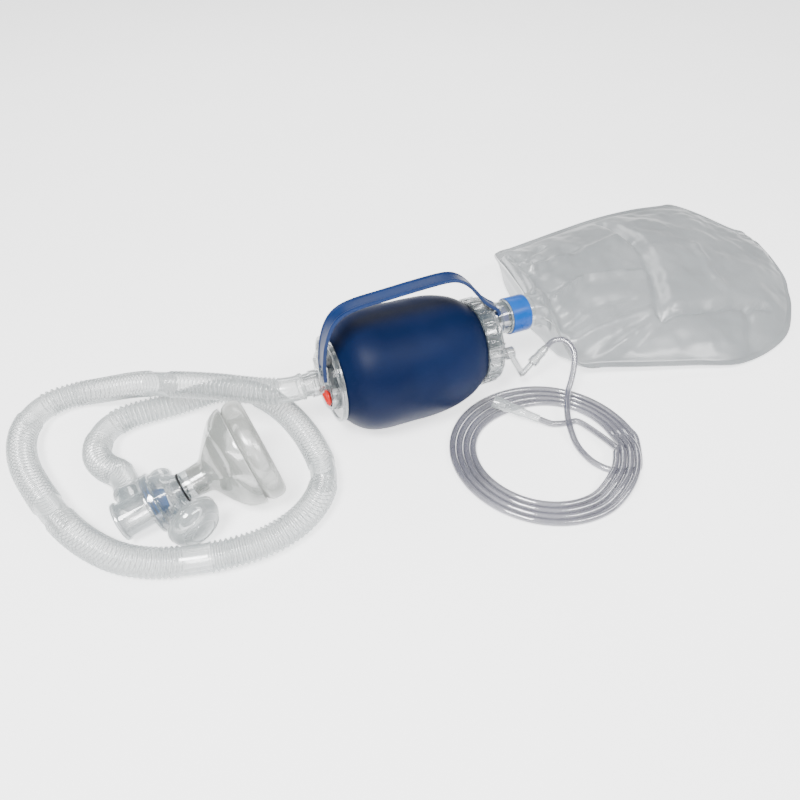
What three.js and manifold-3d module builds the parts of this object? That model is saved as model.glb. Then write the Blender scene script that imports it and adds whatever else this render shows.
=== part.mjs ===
// Bag valve mask (manual resuscitator) with corrugated hose, patient valve, face mask,
// reservoir bag and a coil of oxygen tubing, laid out on a table.
// Millimetres. +X runs along the squeeze bag from the patient end to the reservoir end, +Z is up,
// and z = 0 is the table. The origin is the middle of the base of everything but the free tubing.

import * as THREE from 'three';
import { mergeVertices } from 'three/addons/utils/BufferGeometryUtils.js';
import Module from 'manifold-3d';

const wasm = await Module();
wasm.setup();

// ---- driving dimensions -------------------------------------------------------------------
const GAP = 0.3;                 // clearance between touching pieces
const SEG = 28;                  // facets round a large ring
const SMALL_SEG = 14;            // facets round a small one

const ORIGIN_X = 222.9;          // build frame to object frame
const ORIGIN_Y = 64.7;

const BAG_R = 62;                // squeeze bag, largest radius
const BAG_LEN = 148;
const BAG_WALL = 2.6;
const MOUTH_R = 41;              // bag's end collars
const AXIS_Z = BAG_R;            // the bag rests on the table

const FLANGE_R = 43;
const FLANGE_T = 3.6;
const DRUM_R = 29.7;             // clear drum in front of the flange
const DRUM_FRONT = -12;
const NECK_R = 12;
const NECK_END = -17;
const CONNECTOR_R = 13.2;
const CONNECTOR_END = -31;

const RING_R = 45.5;             // rear retaining ring
const RING_TEETH = 22;
const RING_START = BAG_LEN + GAP;
const RING_END = 162;
const PLATE_END = 165.6;
const PORT_Y = 12;               // reservoir port, off the bag's axis
const PORT_Z = 12;
const PORT_R = 22;
const PORT_TIP_R = 16.8;
const PORT_BORE_R = 14.9;
const PORT_END = 219;
const COLLAR_R = 18.2;          // sleeve that grips the reservoir's mouth
const BAND_R = 19.6;
const BAND_START = 196;
const BAND_END = 217;
const BOSS_Y = -14;              // oxygen boss, off the bag's axis
const BOSS_Z = -16;
const BOSS_R = 5.4;
const BOSS_END = 184;

const STRAP_Y = -18;             // middle of the carrying strap at its front end
const STRAP_REAR_Y = -8;
const STRAP_W = 16;
const STRAP_T = 3.2;

const KNOB_Y = -20;              // pressure relief valve on the drum
const KNOB_Z = -5;
const POCKET_R = 9.4;
const POCKET_FLOOR = -5.8;       // the valve sits on this, inside a pocket in the drum
const CAGE_FRONT = -11.3;
const DISC_FRONT = POCKET_FLOOR - 1.6;

const VALVE_AT = [-215.5, -62.5, 19.9];   // middle of the patient valve's inlet end
const VALVE_TURN = THREE.MathUtils.degToRad(4.8);
const VALVE_TILT = THREE.MathUtils.degToRad(13.6);
const CHAMBER_R = 16;
const VALVE_FLANGE_R = 27;
const VALVE_PORT_R = 11;         // 22 mm conical connector
const MASK_TURN = THREE.MathUtils.degToRad(45);
const MASK_HALF_LEN = 49;
const MASK_HALF_WID = 43;

const HOSE_R = 13.5;
const TUBE_R = 3.25;
const COIL_AT = [175, -118];
const COIL_R_IN = 69;
const COIL_R_OUT = 97;
const COIL_H = 8;

// ---- materials ----------------------------------------------------------------------------
function material(color, roughness, metalness = 0, opacity = 1) {
  return new THREE.MeshStandardMaterial({
    color, roughness, metalness, opacity, transparent: opacity < 1,
  });
}
const NAVY = material('#28406e', 0.55);
const STRAP_BLUE = material('#164a87', 0.45);
const BAND_BLUE = material('#1e78cd', 0.4);
const RED = material('#d2322d', 0.4);
const CLEAR = material('#dfe6e8', 0.15, 0, 0.4);
const FROSTED = material('#dcdfe0', 0.4, 0, 0.55);
const FILM = material('#b9bec3', 0.3, 0, 0.6);
const HOSE_CLEAR = material('#d5dadc', 0.35, 0, 0.6);
const TUBE_CLEAR = material('#b4b6c2', 0.2, 0, 0.6);
const VALVE_BLUE = material('#2a6f9e', 0.5);
const PURPLE = material('#7f7fb8', 0.5);
const BLACK = material('#101010', 0.6);
const SILICONE = material('#d9dcda', 0.5, 0, 0.7);
const STEEL = material('#b8bcc0', 0.3, 0.9);

// ---- helpers ------------------------------------------------------------------------------
// A turned piece about +X. The profile is [x, r] pairs: outside with x rising, inside falling.
function turned(profile, segments = SEG) {
  const points = profile.map(([x, r]) => new THREE.Vector2(r, x));
  const geometry = new THREE.LatheGeometry(points, segments);
  geometry.rotateZ(-Math.PI / 2);
  return geometry;
}

// A hollow turned piece: the outer outline, and the inner one, both with x rising.
function tubeShape(outer, inner, segments = SEG) {
  return turned([...outer, ...[...inner].reverse(), outer[0]], segments);
}

// A plain ring between two x values.
function ring(x0, x1, outerR, innerR, segments = SEG) {
  return tubeShape([[x0, outerR], [x1, outerR]], [[x0, innerR], [x1, innerR]], segments);
}

// A plain rod between two x values.
function rod(x0, x1, r, segments = SMALL_SEG) {
  return turned([[x0, 0], [x0, r], [x1, r], [x1, 0]], segments);
}

// A box given by its lowest and highest corners.
function block(low, high) {
  const size = high.map((value, i) => value - low[i]);
  const geometry = new THREE.BoxGeometry(...size);
  geometry.translate(...low.map((value, i) => value + size[i] / 2));
  return geometry;
}

// Turns a piece made along +X so that it runs along a direction from a point.
function along(geometry, from, direction) {
  const turn = new THREE.Quaternion().setFromUnitVectors(
    new THREE.Vector3(1, 0, 0), new THREE.Vector3(...direction).normalize());
  geometry.applyQuaternion(turn);
  geometry.translate(...from);
  return geometry;
}

function toSolid(geometry) {
  const bare = geometry.clone();
  bare.deleteAttribute('normal');
  bare.deleteAttribute('uv');
  const merged = mergeVertices(bare, 1e-4);
  return new wasm.Manifold(new wasm.Mesh({
    numProp: 3,
    vertProperties: new Float32Array(merged.attributes.position.array),
    triVerts: new Uint32Array(merged.index.array),
  }));
}

function fromSolid(solid) {
  const { vertProperties, triVerts } = solid.getMesh();
  const geometry = new THREE.BufferGeometry();
  geometry.setAttribute('position', new THREE.BufferAttribute(new Float32Array(vertProperties), 3));
  geometry.setIndex(new THREE.BufferAttribute(new Uint32Array(triVerts), 1));
  return geometry;
}

function joined(...pieces) {
  return fromSolid(pieces.map(toSolid).reduce((sum, piece) => sum.add(piece)));
}

function cut(base, ...tools) {
  return fromSolid(tools.map(toSolid).reduce((rest, tool) => rest.subtract(tool), toSolid(base)));
}

// A round tube along a smooth curve through the points.
function roundTube(points, r, sides, steps) {
  const curve = new THREE.CatmullRomCurve3(
    points.map((point) => new THREE.Vector3(...point)), false, 'catmullrom', 0.5);
  const section = new THREE.Shape();
  for (let i = 0; i < sides; i += 1) {
    const angle = (i / sides) * 2 * Math.PI;
    const place = [r * Math.cos(angle), r * Math.sin(angle)];
    if (i === 0) section.moveTo(...place);
    else section.lineTo(...place);
  }
  section.closePath();
  return new THREE.ExtrudeGeometry(section, { steps, extrudePath: curve, curveSegments: 1 });
}

// A flat-sided piece: an outline in X and Z, given thickness across Y about the middle plane.
function slab(outline, width, middleY) {
  const shape = new THREE.Shape(outline.map(([x, z]) => new THREE.Vector2(x, z)));
  const geometry = new THREE.ExtrudeGeometry(shape, { depth: width, bevelEnabled: false, steps: 1 });
  geometry.rotateX(Math.PI / 2);
  geometry.translate(0, middleY + width / 2, 0);
  return geometry;
}

function piece(name, geometry, look) {
  const mesh = new THREE.Mesh(geometry, look.clone());
  mesh.name = name;
  return mesh;
}

// ---- squeeze bag --------------------------------------------------------------------------
function squeezeBag() {
  const stations = [
    [GAP, MOUTH_R], [4, 45], [11, 52], [22, 58], [36, 61.2], [52, BAG_R], [76, BAG_R],
    [98, 60.6], [118, 57], [134, 51], [BAG_LEN, MOUTH_R],
  ];
  const inner = stations.filter((_, i) => i % 2 === 0).map(([x, r]) => [x, r - BAG_WALL]);
  return tubeShape(stations, inner, 32);
}

// ---- outlet end ---------------------------------------------------------------------------
function outletHousing() {
  const drum = tubeShape(
    [[NECK_END, NECK_R], [DRUM_FRONT, NECK_R], [DRUM_FRONT, DRUM_R], [-GAP, DRUM_R]],
    [[NECK_END, 9.6], [DRUM_FRONT + 2.2, 9.6], [DRUM_FRONT + 2.2, 27.4], [-GAP, 27.4]]);
  const cup = rod(DRUM_FRONT, POCKET_FLOOR + 1.4, POCKET_R + 1.4, SEG);
  const pocket = rod(DRUM_FRONT - 2, POCKET_FLOOR, POCKET_R, SEG);
  const reliefHole = rod(POCKET_FLOOR - 1, POCKET_FLOOR + 4, 3.8);
  for (const tool of [cup, pocket, reliefHole]) tool.translate(0, KNOB_Y, KNOB_Z);
  const hook = block([-20, STRAP_Y - 2.6, 22.8], [DRUM_FRONT + 1, STRAP_Y + 2.6, 29]);
  const hookFoot = block([-13, STRAP_Y - 2.6, 16], [DRUM_FRONT + 1, STRAP_Y + 2.6, 24]);
  return cut(joined(drum, cup, hook, hookFoot), pocket, reliefHole);
}

function reliefCage() {
  return ring(CAGE_FRONT, POCKET_FLOOR - GAP, 7, 5.8, SMALL_SEG).translate(0, KNOB_Y, KNOB_Z);
}

function reliefKnob() {
  const head = turned([
    [CAGE_FRONT - 3.7, 0], [CAGE_FRONT - 3.7, 7.4], [CAGE_FRONT - 2.2, 8.2],
    [CAGE_FRONT - GAP, 6.2], [CAGE_FRONT - GAP, 5.4], [CAGE_FRONT + GAP, 5.4],
    [CAGE_FRONT + GAP, 0],
  ], SMALL_SEG);
  const wing = block([CAGE_FRONT - 5.4, -7, -1.4], [CAGE_FRONT - 2.5, 7, 1.4]);
  return joined(head, wing).translate(0, KNOB_Y, KNOB_Z);
}

// The disc closes the hole in the pocket's floor; the spring holds it there.
function reliefDisc() {
  return rod(DISC_FRONT, POCKET_FLOOR - GAP, 5.2).translate(0, KNOB_Y, KNOB_Z);
}

function reliefSpring() {
  const turns = 2;
  const radius = 3.4;
  const start = CAGE_FRONT + 1;
  const length = DISC_FRONT - 0.6 - start;
  const points = [];
  const count = 24;
  for (let i = 0; i <= count; i += 1) {
    const angle = (i / count) * turns * 2 * Math.PI;
    points.push([
      start + (i / count) * length, KNOB_Y + radius * Math.cos(angle),
      KNOB_Z + radius * Math.sin(angle),
    ]);
  }
  return roundTube(points, 0.3, 5, count);
}

// ---- strap handle -------------------------------------------------------------------------
function strapHandle() {
  const spine = [
    [-15.4, 19], [-15.4, 27], [-15.2, 38], [-12.5, 58], [-6, 76], [4, 86.5], [20, 91.5],
    [48, 94], [78, 96.4], [100, 97.2], [116, 94.2], [129, 86], [141, 73], [152, 58.5],
    [162.5, 48.8], [169, 43.5], [170.3, 37],
  ];
  const curve = new THREE.SplineCurve(spine.map(([x, z]) => new THREE.Vector2(x, z)));
  const count = 40;
  const left = [];
  const right = [];
  for (let i = 0; i <= count; i += 1) {
    const at = curve.getPoint(i / count);
    const heading = curve.getTangent(i / count);
    left.push([at.x - heading.y * STRAP_T / 2, at.y + heading.x * STRAP_T / 2]);
    right.unshift([at.x + heading.y * STRAP_T / 2, at.y - heading.x * STRAP_T / 2]);
  }
  const band = slab([...left, ...right], STRAP_W, STRAP_Y);
  const position = band.attributes.position;
  for (let i = 0; i < position.count; i += 1) {
    const share = THREE.MathUtils.smoothstep(position.getX(i), 90, 160);
    position.setY(i, position.getY(i) + share * (STRAP_REAR_Y - STRAP_Y));
  }
  const frontSlot = block([-20, STRAP_Y - 3, 22.4], [-10, STRAP_Y + 3, 33]);
  const rearSlot = block([164, STRAP_REAR_Y - 3, 38.6], [176, STRAP_REAR_Y + 3, 42.4]);
  return cut(band, frontSlot, rearSlot);
}

// ---- rear end -----------------------------------------------------------------------------
function rearRing() {
  const outline = new THREE.Shape();
  const perTooth = 4;
  for (let i = 0; i < RING_TEETH * perTooth; i += 1) {
    const r = i % perTooth < 2 ? RING_R : RING_R - 1.8;
    const angle = ((i + 0.5) / (RING_TEETH * perTooth)) * 2 * Math.PI;
    const place = [r * Math.cos(angle), r * Math.sin(angle)];
    if (i === 0) outline.moveTo(...place);
    else outline.lineTo(...place);
  }
  outline.closePath();
  const bore = new THREE.Path();
  bore.absarc(0, 0, MOUTH_R + 0.6, 0, 2 * Math.PI, true);
  outline.holes.push(bore);
  const geometry = new THREE.ExtrudeGeometry(
    outline, { depth: RING_END - RING_START, bevelEnabled: false, curveSegments: SEG / 2 });
  geometry.rotateY(Math.PI / 2);
  geometry.translate(RING_START, 0, 0);
  return geometry;
}

function rearHousing() {
  const plate = rod(RING_END + GAP, PLATE_END, 43.6, SEG);
  const skirt = ring(BAG_LEN + 1, RING_END + 1, MOUTH_R, 38.4);
  const port = turned([
    [PLATE_END - 1, 0], [PLATE_END - 1, PORT_R], [180, PORT_R - 0.6], [185, PORT_TIP_R + 0.4],
    [PORT_END, PORT_TIP_R], [PORT_END, 0],
  ]).translate(0, PORT_Y, PORT_Z);
  const portBore = turned([
    [RING_END - 1, 0], [RING_END - 1, PORT_BORE_R], [PORT_END + 1, PORT_BORE_R], [PORT_END + 1, 0],
  ]).translate(0, PORT_Y, PORT_Z);
  const boss = rod(PLATE_END - 1, BOSS_END, BOSS_R).translate(0, BOSS_Y, BOSS_Z);
  const bossBore = rod(RING_END - 1, BOSS_END + 1, 2).translate(0, BOSS_Y, BOSS_Z);
  const hook = block([PLATE_END - 1, STRAP_REAR_Y - 2.6, 39], [175, STRAP_REAR_Y + 2.6, 42]);
  return cut(joined(plate, skirt, port, boss, hook), portBore, bossBore);
}

function intakeSeat() {
  const web = new THREE.Shape();
  web.absarc(0, 0, 38, 0, 2 * Math.PI, false);
  const holes = 6;
  for (let i = 0; i < holes; i += 1) {
    const angle = (i / holes) * 2 * Math.PI;
    const hole = new THREE.Path();
    const middle = [PORT_Y + 9 * Math.cos(angle), PORT_Z + 9 * Math.sin(angle)];
    hole.absarc(...middle, 3, 0, 2 * Math.PI, true);
    web.holes.push(hole);
  }
  const geometry = new THREE.ExtrudeGeometry(web, { depth: 2, bevelEnabled: false, curveSegments: 7 });
  geometry.applyMatrix4(new THREE.Matrix4().set(0, 0, 1, 158, 1, 0, 0, 0, 0, 1, 0, 0, 0, 0, 0, 1));
  return geometry;
}

function intakeLeaf() {
  return rod(156.4, 157.6, 14).translate(0, PORT_Y, PORT_Z);
}

function reservoirValveRing() {
  return ring(184, 192, PORT_BORE_R - GAP, 11.8).translate(0, PORT_Y, PORT_Z);
}

function reservoirBand() {
  return ring(BAND_START, BAND_END, BAND_R, COLLAR_R + GAP).translate(0, PORT_Y, PORT_Z);
}

function reservoirCollar() {
  return ring(194, 222, COLLAR_R, PORT_TIP_R + 0.5).translate(0, PORT_Y, PORT_Z);
}

// The soft reservoir: a tube of film, round at the collar and lens-shaped where it lies.
// Each station is x, the near edge's y and z, the far edge's y and z, and how far the film
// stands above and below the line between the edges.
const RESERVOIR = [
  [222.3, -5.9, 74, 29.9, 74, 17.9, 17.9], [236, -7, 71, 40, 73, 19, 20],
  [248, -4, 58, 92, 68, 22, 28], [258, -12, 38, 138, 60, 26, 32], [270, -34, 17, 166, 53, 30, 28],
  [299, -43, 14, 177, 48, 32, 26], [335, -55, 12, 188, 45, 32, 24], [394, -73, 9, 206, 40, 32, 22],
  [450, -90, 7, 221, 36, 30, 20], [500, -83, 6, 231, 32, 27, 18], [545, -64, 6, 237, 28, 22, 15],
  [590, -25, 6, 238, 24, 16, 12], [614, 3, 6, 236, 22, 12, 10], [635, 30, 6.5, 205, 19, 8, 7],
  [655, 72, 7.5, 158, 14, 5, 5], [668, 112, 9, 145, 11.5, 3, 3],
];
const RESERVOIR_LOW = 0.8;

function reservoirBag() {
  const around = 20;
  const last = RESERVOIR.length - 1;
  const geometry = new THREE.CylinderGeometry(1, 1, last, around, last);
  const position = geometry.attributes.position;
  for (let i = 0; i < position.count; i += 1) {
    const step = Math.round(position.getY(i) + last / 2);
    const [x, nearY, nearZ, farY, farZ, above, below] = RESERVOIR[step];
    const across = (1 + position.getZ(i)) / 2;
    const up = -position.getX(i);
    const z = farZ + (nearZ - farZ) * across + up * (up > 0 ? above : below);
    position.setXYZ(i, x, farY + (nearY - farY) * across, Math.max(z, RESERVOIR_LOW));
  }
  return geometry;
}

// ---- oxygen inlet and tubing --------------------------------------------------------------
const ELBOW_LOW = [202, -24, 21];
const TUBE_HEADING = [51, 14, 32];

function fromElbow(distance) {
  const heading = new THREE.Vector3(...TUBE_HEADING).normalize();
  return ELBOW_LOW.map((value, i) => value + heading.getComponent(i) * distance);
}

function oxygenElbow() {
  const bossZ = AXIS_Z + BOSS_Z;
  const cap = rod(BOSS_END + GAP, 193, 6.6).translate(0, BOSS_Y, bossZ);
  const leg = block([-1, -5.5, -3], [29, 5.5, 3]);
  const low = ELBOW_LOW.map((value, i) => value - [189.5, BOSS_Y, bossZ][i]);
  along(leg, [189.5, BOSS_Y, bossZ], low);
  const nipple = along(rod(-1, 15, 3), ELBOW_LOW, TUBE_HEADING);
  return joined(cap, leg, nipple);
}

function oxygenAdapter() {
  const profile = [[15 + GAP, 0], [15 + GAP, 5.6], [22, 5.6], [24, 4.6], [38, 4.2], [38, 0]];
  return along(turned(profile, SMALL_SEG), ELBOW_LOW, TUBE_HEADING);
}

const LEAD_ROUTE = [
  fromElbow(38 + GAP), [240.2, -14, 44.8], [247, -15.6, 47.8], [252.8, -20, 48], [256.3, -26.4, 45.2],
  [257, -33.4, 40.6], [254.6, -40.2, 34.6], [250, -47, 27.8], [243, -55, 21], [234, -64, 15],
  [224.5, -78, 12.6], [216, -93, 11], [211, -107, 7.5], [208, -121, 4], [207, -135, 3.4],
  [208.5, -148, 3.4], [212.5, -157.6, 3.4], [217, -163.6, 3.4],
];
const TAIL_ROUTE = [
  [237, -107, 3.6], [229.5, -99, 3.6], [219, -93.8, 3.7], [208, -92, 4.3], [200, -89.6, 5.3],
  [195, -85.4, 6.3], [190.2, -80.9, 7.64],
];
const CONNECTOR_FROM = [190, -80.7, 7.7];
const CONNECTOR_TO = [154, -47, 17.6];

function tubeConnector() {
  const heading = CONNECTOR_TO.map((value, i) => value - CONNECTOR_FROM[i]);
  const profile = [[0, 0], [0, 4], [14, 4.2], [20, 5.2], [34, 5.2], [38, 6.2], [50, 6.2], [50, 0]];
  return along(turned(profile, SMALL_SEG), CONNECTOR_FROM, heading);
}

function tubeCoil() {
  const geometry = ring(0, COIL_H, COIL_R_OUT, COIL_R_IN, 32);
  geometry.rotateY(-Math.PI / 2);
  return geometry.translate(...COIL_AT, 0);
}

// ---- corrugated hose ----------------------------------------------------------------------
const HOSE_ROUTE = [
  [CONNECTOR_END - GAP, 0, 62], [-44, 0, 62], [-61, 5, 61.5], [-80, 17, 60], [-104, 36, 57],
  [-130, 56, 52.5], [-152, 73, 47.5], [-169, 88, 42], [-185, 102, 34.5], [-202, 116, 25.5],
  [-220, 128, 18], [-240, 135, 14.5], [-263, 133, 14], [-280.5, 121, 14], [-292, 101, 14],
  [-296, 74, 14], [-293, 44, 14], [-284, 12, 14], [-272, -21, 14], [-258.5, -50, 14],
  [-241, -77, 14], [-221, -98, 14], [-196, -113, 14], [-167, -122, 14], [-137, -127, 14],
  [-107, -127, 14], [-79, -119, 14], [-57, -104, 14], [-42, -84, 14], [-36, -60, 14],
  [-36, -34, 14], [-39, -8, 14], [-45, 18, 14], [-55, 43, 14], [-69, 65, 14], [-88, 79, 14],
  [-110, 84, 14], [-133, 82, 14], [-157, 80, 14], [-180, 80, 14], [-201, 77, 14],
  [-217, 67, 14], [-227, 50, 14], [-229, 30, 15], [-222, 9, 18.7], [-211.5, -7, 22.2],
  [-207.19, -22.06, 22.72], [-206.08, -35.32, 22.72],
];

// ---- patient valve, built along its own +X with +Y the hose side ---------------------------
const PORT_AT = 12;              // middle of the hose port along the valve
const EXHALE_AT = 42;
const EXHALE_DIR = [0.32, -0.92, -0.22];
const LEAF_SEAT = 27.4;
const DOME_R = 23.2;
const DOME_FROM = 37;            // where the dome is widest, out from the valve's axis

function inletChamber() {
  const shell = rod(0.6, 27, CHAMBER_R, SEG);
  const flange = rod(27, 29.4, VALVE_FLANGE_R, SEG);
  const port = along(rod(0, 26, VALVE_PORT_R, 20), [PORT_AT, 0, 0], [0, 1, 0]);
  const bore = rod(-1, 31, CHAMBER_R - 1.8, SEG);
  const portBore = along(rod(0, 28, VALVE_PORT_R - 1.6, 20), [PORT_AT, 0, 0], [0, 1, 0]);
  return cut(joined(shell, flange, port), bore, portBore);
}

function inletEndCap() {
  return turned([[-2.4, 0], [-2.4, 17.6], [GAP, 17.6], [GAP, 0]], SEG);
}

function duckbillValve() {
  const skirt = ring(29.8, 31.2, 24.6, 13);
  const bill = block([31.2 - 0.4, -11, -1.6], [41, 11, 1.6]);
  const collar = rod(29.8, 31.2, 13.4, SEG);
  const slit = block([29, -8, -0.5], [42, 8, 0.5]);
  return cut(joined(skirt, collar, bill), slit);
}

function diaphragmRetainer() {
  const rim = ring(32.8, 34.3, 24.4, 21.6);
  const hub = ring(32.8, 34.3, 15.4, 12.8);
  const spokes = [];
  for (let i = 0; i < 6; i += 1) {
    spokes.push(block([32.8, 14.4, -1.4], [34.3, 22.6, 1.4]).rotateX((i * Math.PI) / 3));
  }
  return joined(rim, hub, ...spokes);
}

function outletBody() {
  const shell = tubeShape(
    [[29.8, VALVE_FLANGE_R], [36, VALVE_FLANGE_R], [36.4, 22], [46, 21], [52, 15.4], [56, 14]],
    [[29.8, 25], [34.6, 25], [34.6, 19.8], [44.6, 18.8], [50, 13.2], [56, 11.6]]);
  const base = [EXHALE_AT, 0, 0];
  const branch = along(rod(14, 31.5, 9.4, 20), base, EXHALE_DIR);
  const lobe = along(rod(10, 25, 10.5, 20), [42, 0, 2], [0, 1, 0]);
  const core = turned([[29, 0], [29, 25], [34.6, 25], [34.6, 19.8], [44.6, 18.8], [50, 13.2],
    [57, 11.6], [57, 0]], SEG);
  const branchBore = along(turned([
    [10, 0], [10, 6.6], [LEAF_SEAT, 6.6], [LEAF_SEAT, 8.6], [35, 8.6], [35, 0],
  ], 20), base, EXHALE_DIR);
  const lobeBore = along(rod(8, 23, 8.8, 20), [42, 0, 2], [0, 1, 0]);
  return cut(joined(shell, branch, lobe), core, branchBore, lobeBore);
}

function exhalationLeaf() {
  return along(rod(LEAF_SEAT + GAP, LEAF_SEAT + 1.3, 8), [EXHALE_AT, 0, 0], EXHALE_DIR);
}

// A domed cover that sits over the exhalation port and turns on it.
function exhalationCap() {
  const arc = [];
  const count = 5;
  for (let i = 0; i <= count; i += 1) {
    const angle = (i / count) * Math.PI / 2;
    arc.push([DOME_FROM + 14.5 * Math.sin(angle), DOME_R * Math.cos(angle)]);
  }
  const inner = arc.map(([x, r]) => [x - 1.8, Math.max(r - 1.8, 0)]);
  const profile = [[31.9, 20], ...arc, ...inner.reverse(), [31.9, 11.8], [31.9, 20]];
  const shell = turned(profile, 24);
  const vent = block([33.4, 15, -5], [37.8, 26, 5]);
  const base = [EXHALE_AT, 0, 0];
  return along(cut(shell, vent), base, EXHALE_DIR);
}

function portORing() {
  const points = [];
  const count = 8;
  for (let i = 0; i <= count; i += 1) {
    const angle = (i / count) * 2 * Math.PI;
    points.push([57.2 - 0.8 * Math.cos(angle), 13.2 + 0.8 * Math.sin(angle)]);
  }
  return turned(points, SEG);
}

function patientPort() {
  return tubeShape(
    [[50.6, 11.3], [56.2, 11.3], [56.2, 12], [58.4, 12], [58.4, 13.6], [66, 13.6], [66, 11],
      [80, 10.8]],
    [[50.6, 7.5], [80, 7.5]]);
}

// ---- mask, built along the valve's +X with its length across +Z ---------------------------
function squash(geometry) {
  geometry.scale(1, MASK_HALF_WID / MASK_HALF_LEN, 1);
  return geometry;
}

function maskDome() {
  const outer = [[66.4, 13.6], [78, 14.6], [84, 20], [92, 29], [102, 39], [115, 44.6]];
  const inner = [[66.4, 11.4], [80, 11.6], [86, 18.6], [94, 27], [103, 36.6], [115, 42.6]];
  const widen = ([x, r]) => {
    const share = THREE.MathUtils.smoothstep(x, 78, 100);
    return [x, r * (1 + share * (MASK_HALF_LEN / 46 - 1))];
  };
  const geometry = tubeShape(outer.map(widen), inner.map(widen), SEG);
  const position = geometry.attributes.position;
  for (let i = 0; i < position.count; i += 1) {
    const share = THREE.MathUtils.smoothstep(position.getX(i), 78, 104);
    position.setY(i, position.getY(i) * (1 + share * (MASK_HALF_WID / MASK_HALF_LEN - 1)));
  }
  return geometry;
}

function maskCushion() {
  const points = [];
  const count = 10;
  for (let i = 0; i <= count; i += 1) {
    const angle = (i / count) * 2 * Math.PI;
    points.push([125.2 - 9.8 * Math.cos(angle), 40.4 + 8.6 * Math.sin(angle)]);
  }
  return squash(turned(points, SEG));
}

// ---- assembly -----------------------------------------------------------------------------
const object = new THREE.Group();
object.position.set(-ORIGIN_X, -ORIGIN_Y, 0);

const bagUnit = new THREE.Group();
bagUnit.position.set(0, 0, AXIS_Z);
bagUnit.add(
  piece('squeeze_bag', squeezeBag(), NAVY),
  piece('outlet_flange', ring(-FLANGE_T - GAP, -GAP, FLANGE_R, DRUM_R + GAP), CLEAR),
  piece('outlet_housing', outletHousing(), CLEAR),
  piece('outlet_connector', tubeShape(
    [[NECK_END - GAP, CONNECTOR_R], [-24, CONNECTOR_R], [-24, 11.4], [CONNECTOR_END, 11]].reverse(),
    [[NECK_END - GAP, 9], [CONNECTOR_END, 9]].reverse()), CLEAR),
  piece('relief_cage', reliefCage(), CLEAR),
  piece('relief_knob', reliefKnob(), RED),
  piece('relief_disc', reliefDisc(), SILICONE),
  piece('relief_spring', reliefSpring(), STEEL),
  piece('strap_handle', strapHandle(), STRAP_BLUE),
  piece('rear_ring', rearRing(), CLEAR),
  piece('rear_housing', rearHousing(), CLEAR),
  piece('intake_valve_seat', intakeSeat(), CLEAR),
  piece('intake_valve_leaf', intakeLeaf(), SILICONE),
  piece('reservoir_valve_ring', reservoirValveRing(), PURPLE),
  piece('reservoir_collar', reservoirCollar(), FROSTED),
  piece('reservoir_band', reservoirBand(), BAND_BLUE),
);

const valveUnit = new THREE.Group();
valveUnit.position.set(...VALVE_AT);
valveUnit.rotation.set(0, -VALVE_TILT, VALVE_TURN, 'ZYX');
valveUnit.add(
  piece('inlet_chamber', inletChamber(), CLEAR),
  piece('inlet_end_cap', inletEndCap(), CLEAR),
  piece('duckbill_valve', duckbillValve(), VALVE_BLUE),
  piece('diaphragm_retainer', diaphragmRetainer(), VALVE_BLUE),
  piece('outlet_body', outletBody(), CLEAR),
  piece('exhalation_leaf', exhalationLeaf(), SILICONE),
  piece('exhalation_cap', exhalationCap(), FROSTED),
  piece('port_o_ring', portORing(), BLACK),
  piece('patient_port', patientPort(), CLEAR),
);

const maskUnit = new THREE.Group();
maskUnit.rotation.x = -MASK_TURN;
maskUnit.add(
  piece('mask_dome', maskDome(), CLEAR),
  piece('mask_cushion', maskCushion(), SILICONE),
);
valveUnit.add(maskUnit);

object.add(
  bagUnit,
  valveUnit,
  piece('reservoir_bag', reservoirBag(), FILM),
  piece('oxygen_elbow', oxygenElbow(), CLEAR),
  piece('oxygen_tube_adapter', oxygenAdapter(), CLEAR),
  piece('oxygen_tube_lead', roundTube(LEAD_ROUTE, TUBE_R, 8, 34), TUBE_CLEAR),
  piece('oxygen_tube_coil', tubeCoil(), TUBE_CLEAR),
  piece('oxygen_tube_tail', roundTube(TAIL_ROUTE, TUBE_R, 8, 9), TUBE_CLEAR),
  piece('oxygen_tube_connector', tubeConnector(), FROSTED),
  piece('corrugated_hose', roundTube(HOSE_ROUTE, HOSE_R, 8, 64), HOSE_CLEAR),
);

export default object;
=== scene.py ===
import math

import bmesh
import bpy
import numpy as np
from mathutils import Matrix, Vector, noise


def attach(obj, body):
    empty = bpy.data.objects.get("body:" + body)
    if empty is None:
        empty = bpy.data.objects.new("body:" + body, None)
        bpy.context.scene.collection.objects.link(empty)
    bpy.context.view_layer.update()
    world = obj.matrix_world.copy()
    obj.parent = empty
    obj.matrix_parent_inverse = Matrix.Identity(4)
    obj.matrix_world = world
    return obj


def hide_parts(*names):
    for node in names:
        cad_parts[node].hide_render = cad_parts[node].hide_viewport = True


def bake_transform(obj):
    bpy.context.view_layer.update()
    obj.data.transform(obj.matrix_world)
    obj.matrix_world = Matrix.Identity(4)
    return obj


# A bag valve mask laid out on a table: squeeze bag, corrugated hose, patient valve and mask,
# reservoir bag and a coil of oxygen tubing. Positions are written in millimetres in the part's
# build frame (x from the front of the squeeze bag, z from the table) and converted once.

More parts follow.
